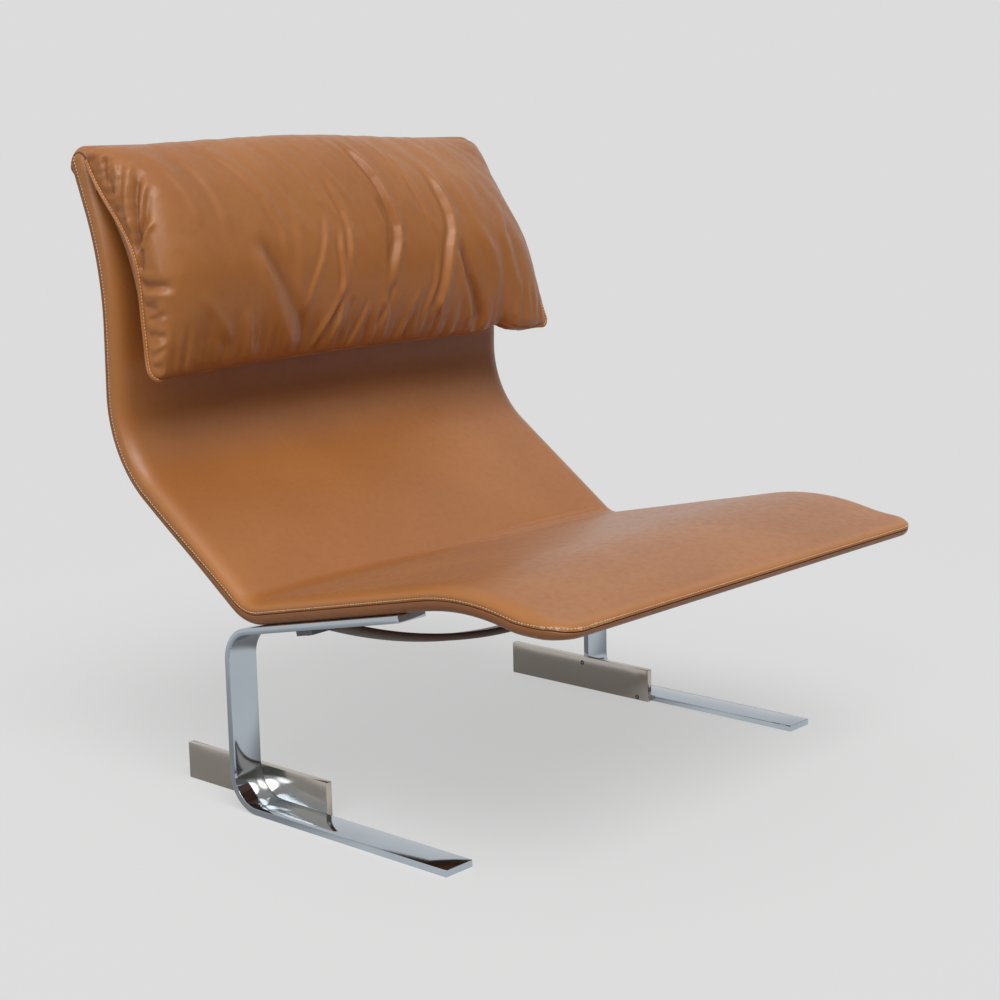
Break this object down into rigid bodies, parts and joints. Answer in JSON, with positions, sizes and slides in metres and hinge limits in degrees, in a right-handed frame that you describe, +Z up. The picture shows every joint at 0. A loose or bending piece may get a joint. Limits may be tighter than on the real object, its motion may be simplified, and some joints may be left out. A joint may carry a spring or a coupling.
{
  "type": "cantilever lounge chair",
  "caption": "Low armless lounge chair: an S-shaped leather shell on two cantilevered C-shaped legs of flat steel bar, with a loose headrest cushion hung over its top edge.",
  "frame": {"origin": "on the floor, below the middle of the bounding box", "axes": "+Z up, the chair faces -Y, +X is towards the sitter's left"},
  "size_m": [0.72, 0.7967, 0.7998],
  "materials": {
    "leather": "aniline, satin, worn",
    "dark_leather": "satin",
    "foam": "cut foam, matte",
    "webbing": "woven elastic webbing",
    "raw_steel": "mill finish",
    "polished_steel": "mirror polished",
    "screw_steel": "satin",
    "filling": "feather and foam insert in a cotton case"
  },
  "bodies": {
    "chair": {"front_cover": "leather", "rear_cover": "dark_leather", "front_foam": "foam", "rear_foam": "foam", "back_straps": "webbing", "seat_straps": "webbing", "side_rail_right": "raw_steel", "side_rail_left": "raw_steel", "top_rail": "raw_steel", "seat_rail": "raw_steel", "front_rail": "raw_steel", "mount_plate_right": "raw_steel", "mount_plate_left": "raw_steel", "leg_right": "polished_steel", "leg_left": "polished_steel", "stabiliser_right": "polished_steel", "stabiliser_left": "polished_steel", "stabiliser_screws_right": "screw_steel", "stabiliser_screws_left": "screw_steel", "arm_bolts_right": "screw_steel", "arm_bolts_left": "screw_steel", "stretcher_bar": "raw_steel", "stretcher_sleeve": "dark_leather", "stretcher_bolts_right": "screw_steel", "stretcher_bolts_left": "screw_steel"},
    "headrest": {"headrest_cover": "leather", "headrest_filling": "filling", "headrest_flap": "dark_leather", "flap_weight": "raw_steel"}
  },
  "joints": [
    {"name": "headrest_lift", "type": "slide", "parent": "chair", "child": "headrest", "axis": [0, 0.3584, 0.9336], "range_m": [0, 0.1]}
  ]
}
